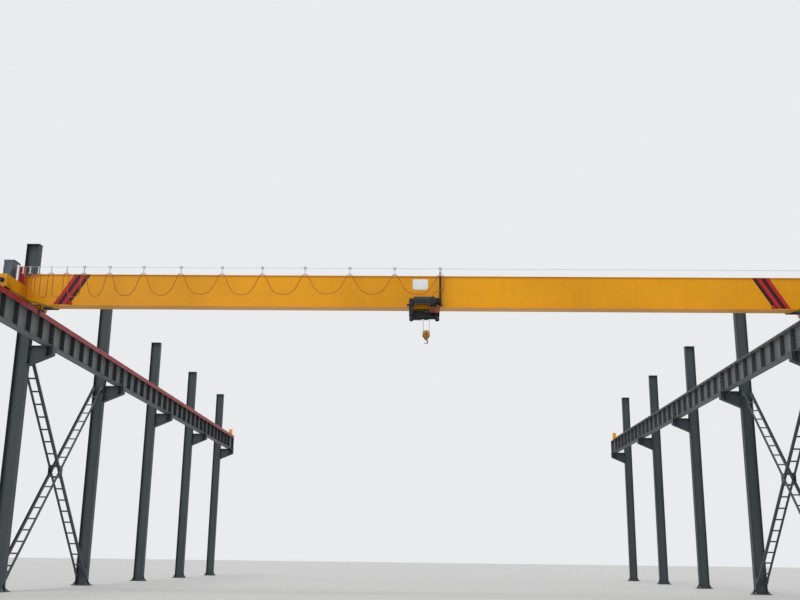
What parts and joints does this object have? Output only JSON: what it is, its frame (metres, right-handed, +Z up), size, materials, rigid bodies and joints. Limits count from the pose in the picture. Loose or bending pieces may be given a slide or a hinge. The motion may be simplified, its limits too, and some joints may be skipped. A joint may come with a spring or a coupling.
{
  "type": "overhead bridge crane",
  "caption": "Single-girder overhead bridge crane on a steel runway, with end carriages, an underslung rope hoist and hook, and a festoon cable.",
  "frame": {"origin": "floor level, in the middle of the runway's plan", "axes": "+X along the bridge, +Y along the runway, +Z up"},
  "size_m": [24.6, 36.6, 10.39],
  "materials": {
    "structure_grey": "satin blue-grey paint",
    "beam_grey": "matt dark grey paint",
    "rail_steel": "rolled steel, running faces bright",
    "crane_yellow": "satin amber yellow paint",
    "signal_red": "satin red",
    "charcoal": "satin charcoal paint",
    "motor_blue": "satin grey-blue paint",
    "zinc": "zinc plated",
    "gear_brown": "satin red-brown paint",
    "cable_orange": "flat orange-brown sheath",
    "rubber_black": "matt",
    "plate_white": "white enamel",
    "rope_wire": "greased wire rope",
    "hook_yellow": "satin orange-yellow paint"
  },
  "bodies": {
    "runway": {"columns_left": "structure_grey", "columns_right": "structure_grey", "corbels_left": "structure_grey", "corbels_right": "structure_grey", "runway_beam_left": "beam_grey", "runway_beam_right": "beam_grey", "rail_left": "rail_steel", "rail_right": "rail_steel", "runway_end_stops": "crane_yellow", "bracing_left": "structure_grey", "bracing_right": "structure_grey", "conductor_rail": "signal_red"},
    "bridge": {"girder": "crane_yellow", "sign_plate": "plate_white", "trolley_stops": "signal_red", "end_carriage_left": "crane_yellow", "end_carriage_right": "crane_yellow", "carriage_buffers": "rubber_black", "travel_drive_left": "motor_blue", "travel_drive_right": "motor_blue", "control_cabinet": "motor_blue", "junction_box": "signal_red", "current_collector": "charcoal", "festoon_track": "zinc", "festoon_cable": "cable_orange"},
    "travel_wheels_near": {"wheels_near": "rail_steel"},
    "travel_wheels_far": {"wheels_far": "rail_steel"},
    "trolley": {"hoist_frame": "charcoal", "drum_cover": "charcoal", "hoist_gearbox": "charcoal", "hoist_motor": "charcoal", "trolley_drive": "gear_brown", "control_box": "charcoal", "reeving_head": "charcoal", "tow_arm": "charcoal"},
    "trolley_wheels_a": {"trolley_wheels_left": "rail_steel"},
    "trolley_wheels_b": {"trolley_wheels_right": "rail_steel"},
    "drum": {"rope_drum": "rope_wire"},
    "lower_block": {"hook_block": "hook_yellow", "rope_falls": "rope_wire"},
    "block_sheave": {"hook_sheave": "charcoal"},
    "load_hook": {"hook": "charcoal"},
    "cable_carrier_1": {"cable_carrier_1": "zinc"},
    "cable_carrier_2": {"cable_carrier_2": "zinc"},
    "cable_carrier_3": {"cable_carrier_3": "zinc"},
    "cable_carrier_4": {"cable_carrier_4": "zinc"},
    "cable_carrier_5": {"cable_carrier_5": "zinc"},
    "cable_carrier_6": {"cable_carrier_6": "zinc"},
    "cable_carrier_7": {"cable_carrier_7": "zinc"},
    "cable_carrier_8": {"cable_carrier_8": "zinc"},
    "cable_carrier_9": {"cable_carrier_9": "zinc"},
    "cable_carrier_10": {"cable_carrier_10": "zinc"}
  },
  "joints": [
    {"name": "bridge_travel", "type": "slide", "parent": "runway", "child": "bridge", "axis": [0, 1, 0], "range_m": [-3.36, 29.28]},
    {"name": "near_wheels_roll", "type": "hinge", "parent": "bridge", "child": "travel_wheels_near", "pos_m": [0, -14.21, 8.16], "axis": [1, 0, 0], "range_deg": [-10487, 1205]},
    {"name": "far_wheels_roll", "type": "hinge", "parent": "bridge", "child": "travel_wheels_far", "pos_m": [0, -11.71, 8.16], "axis": [1, 0, 0], "range_deg": [-10487, 1205]},
    {"name": "trolley_travel", "type": "slide", "parent": "bridge", "child": "trolley", "axis": [1, 0, 0], "range_m": [-9.46, 9.13], "deforming": ["festoon_cable"]},
    {"name": "left_trolley_wheels_roll", "type": "hinge", "parent": "trolley", "child": "trolley_wheels_a", "pos_m": [-0.195, -12.96, 7.9303], "axis": [0, 1, 0], "range_deg": [-9035, 8720]},
    {"name": "right_trolley_wheels_roll", "type": "hinge", "parent": "trolley", "child": "trolley_wheels_b", "pos_m": [0.535, -12.96, 7.9303], "axis": [0, 1, 0], "range_deg": [-9035, 8720]},
    {"name": "hook_lift", "type": "slide", "parent": "trolley", "child": "lower_block", "axis": [0, 0, 1], "range_m": [-6.2, 0.15], "deforming": ["rope_falls"]},
    {"name": "drum_spin", "type": "hinge", "parent": "trolley", "child": "drum", "pos_m": [0, -13.35, 7.9863], "axis": [1, 0, 0], "range_deg": [-6899, 168]},
    {"name": "sheave_spin", "type": "hinge", "parent": "lower_block", "child": "block_sheave", "pos_m": [0.225, -12.96, 7.14], "axis": [0, 1, 0], "range_deg": [-4181, 103]},
    {"name": "hook_swivel", "type": "hinge", "parent": "lower_block", "child": "load_hook", "pos_m": [0.225, -12.96, 6.985], "axis": [0, 0, 1], "continuous": true},
    {"name": "carrier_1_slide", "type": "slide", "parent": "bridge", "child": "cable_carrier_1", "axis": [1, 0, 0], "range_m": [-0.3897, 0.3761]},
    {"name": "carrier_2_slide", "type": "slide", "parent": "cable_carrier_1", "child": "cable_carrier_2", "axis": [1, 0, 0], "range_m": [-0.6192, 0.5976]},
    {"name": "carrier_3_slide", "type": "slide", "parent": "cable_carrier_2", "child": "cable_carrier_3", "axis": [1, 0, 0], "range_m": [-0.8587, 0.8287]},
    {"name": "carrier_4_slide", "type": "slide", "parent": "cable_carrier_3", "child": "cable_carrier_4", "axis": [1, 0, 0], "range_m": [-0.9485, 0.9154]},
    {"name": "carrier_5_slide", "type": "slide", "parent": "cable_carrier_4", "child": "cable_carrier_5", "axis": [1, 0, 0], "range_m": [-1.0583, 1.0214]},
    {"name": "carrier_6_slide", "type": "slide", "parent": "cable_carrier_5", "child": "cable_carrier_6", "axis": [1, 0, 0], "range_m": [-1.0283, 0.9925]},
    {"name": "carrier_7_slide", "type": "slide", "parent": "cable_carrier_6", "child": "cable_carrier_7", "axis": [1, 0, 0], "range_m": [-1.0982, 1.0599]},
    {"name": "carrier_8_slide", "type": "slide", "parent": "cable_carrier_7", "child": "cable_carrier_8", "axis": [1, 0, 0], "range_m": [-1.1481, 1.108]},
    {"name": "carrier_9_slide", "type": "slide", "parent": "cable_carrier_8", "child": "cable_carrier_9", "axis": [1, 0, 0], "range_m": [-1.1481, 1.108]},
    {"name": "carrier_10_slide", "type": "slide", "parent": "cable_carrier_9", "child": "cable_carrier_10", "axis": [1, 0, 0], "range_m": [-1.168, 1.1273]}
  ],
  "couplings": [
    {"joint": "near_wheels_roll", "follows": "bridge_travel", "rad_per_m": -6.25},
    {"joint": "far_wheels_roll", "follows": "bridge_travel", "rad_per_m": -6.25},
    {"joint": "left_trolley_wheels_roll", "follows": "trolley_travel", "rad_per_m": 16.667},
    {"joint": "right_trolley_wheels_roll", "follows": "trolley_travel", "rad_per_m": 16.667},
    {"joint": "drum_spin", "follows": "hook_lift", "rad_per_m": 19.417},
    {"joint": "sheave_spin", "follows": "hook_lift", "rad_per_m": 11.765},
    {"joint": "carrier_1_slide", "follows": "trolley_travel", "ratio": 0.041139},
    {"joint": "carrier_2_slide", "follows": "trolley_travel", "ratio": 0.065401},
    {"joint": "carrier_3_slide", "follows": "trolley_travel", "ratio": 0.090717},
    {"joint": "carrier_4_slide", "follows": "trolley_travel", "ratio": 0.10021},
    {"joint": "carrier_5_slide", "follows": "trolley_travel", "ratio": 0.11181},
    {"joint": "carrier_6_slide", "follows": "trolley_travel", "ratio": 0.10865},
    {"joint": "carrier_7_slide", "follows": "trolley_travel", "ratio": 0.11603},
    {"joint": "carrier_8_slide", "follows": "trolley_travel", "ratio": 0.12131},
    {"joint": "carrier_9_slide", "follows": "trolley_travel", "ratio": 0.12131},
    {"joint": "carrier_10_slide", "follows": "trolley_travel", "ratio": 0.12342}
  ]
}
